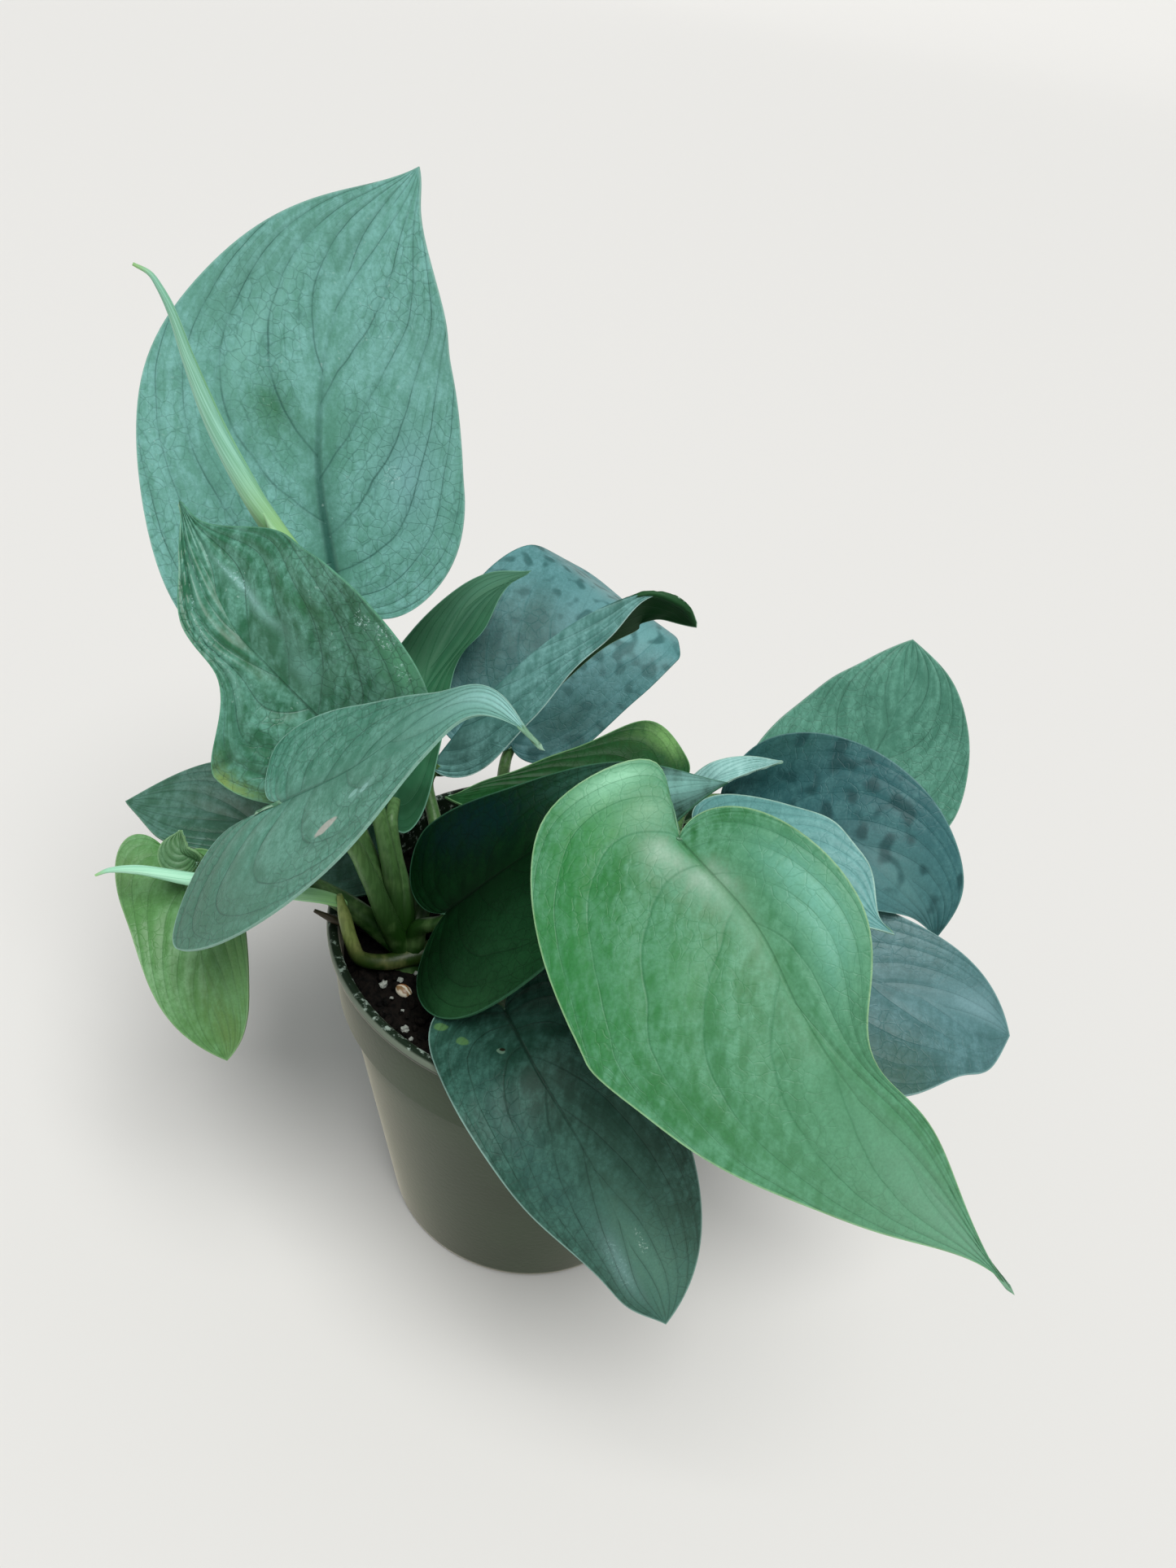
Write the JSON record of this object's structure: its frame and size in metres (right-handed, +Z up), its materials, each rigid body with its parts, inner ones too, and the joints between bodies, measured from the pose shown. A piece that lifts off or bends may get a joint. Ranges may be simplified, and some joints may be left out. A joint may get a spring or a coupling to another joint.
{
  "type": "potted plant",
  "caption": "Potted scindapsus with silvery heart-shaped leaves on arching stalks, rooted in dark potting mix in a round plastic nursery pot.",
  "frame": {"origin": "centre of the flat underside of the pot, on the surface it stands on", "axes": "+Z up; -Y towards the side that the picture looks at; +X to the viewer's right"},
  "size_m": [0.1988, 0.1769, 0.227],
  "materials": {
    "pot_plastic": "dark olive-grey, satin, with pale mineral scuffs inside the rim",
    "potting_mix": "moist, crumbly, near-black brown with white and orange-brown specks",
    "old_leaf": "blue-green with silver mottling, soft sheen",
    "young_leaf": "fresh green with silver mottling, soft sheen",
    "stalk": "smooth green, semi-matte"
  },
  "bodies": {
    "root": {"pot": "pot_plastic", "soil": "potting_mix", "leaf_tall": "old_leaf", "leaf_crinkled": "old_leaf", "leaf_folded": "old_leaf", "leaf_left_silver": "old_leaf", "leaf_hanging": "young_leaf", "leaf_turned": "old_leaf", "leaf_back": "old_leaf", "leaf_arching": "old_leaf", "leaf_back_young": "young_leaf", "leaf_middle": "old_leaf", "leaf_front": "young_leaf", "leaf_back_right": "old_leaf", "leaf_right_blue": "old_leaf", "leaf_inner": "old_leaf", "leaf_right_silver": "old_leaf", "leaf_right_low": "old_leaf", "leaf_over_rim": "old_leaf", "leaf_small": "young_leaf", "shoot_left": "stalk", "shoot_back": "stalk", "shoot_right": "stalk"}
  },
  "joints": []
}
